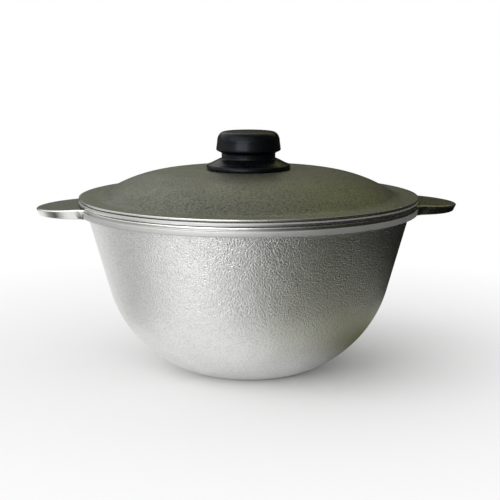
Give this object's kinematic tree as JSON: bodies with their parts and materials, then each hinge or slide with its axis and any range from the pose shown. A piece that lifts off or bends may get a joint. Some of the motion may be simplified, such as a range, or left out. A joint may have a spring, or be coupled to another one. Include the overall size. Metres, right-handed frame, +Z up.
{
  "type": "lidded kazan",
  "caption": "Deep round-bottomed cast aluminium stewing pot with solid side ears, a lift-off domed lid and a black moulded knob.",
  "frame": {"origin": "centre of the flat base, on the surface that the pot stands on", "axes": "+Z up along the pot's axis, +X through the ears"},
  "size_m": [0.3736, 0.2998, 0.213],
  "materials": {
    "cast_aluminium": "as cast, rim and base machined",
    "lid_aluminium": "matt as cast, edge machined",
    "bakelite": "black satin moulding",
    "brass": "turned",
    "steel": "zinc plated",
    "spring_steel": "tempered"
  },
  "bodies": {
    "pot": {"bowl": "cast_aluminium"},
    "lid": {"lid": "lid_aluminium", "lid_knob": "bakelite", "knob_bush": "brass", "knob_screw": "steel", "spring_washer": "spring_steel", "flat_washer": "steel"}
  },
  "joints": [
    {"name": "lid_lift", "type": "slide", "parent": "pot", "child": "lid", "axis": [0, 0, 1], "range_m": [0, 0.3]}
  ]
}
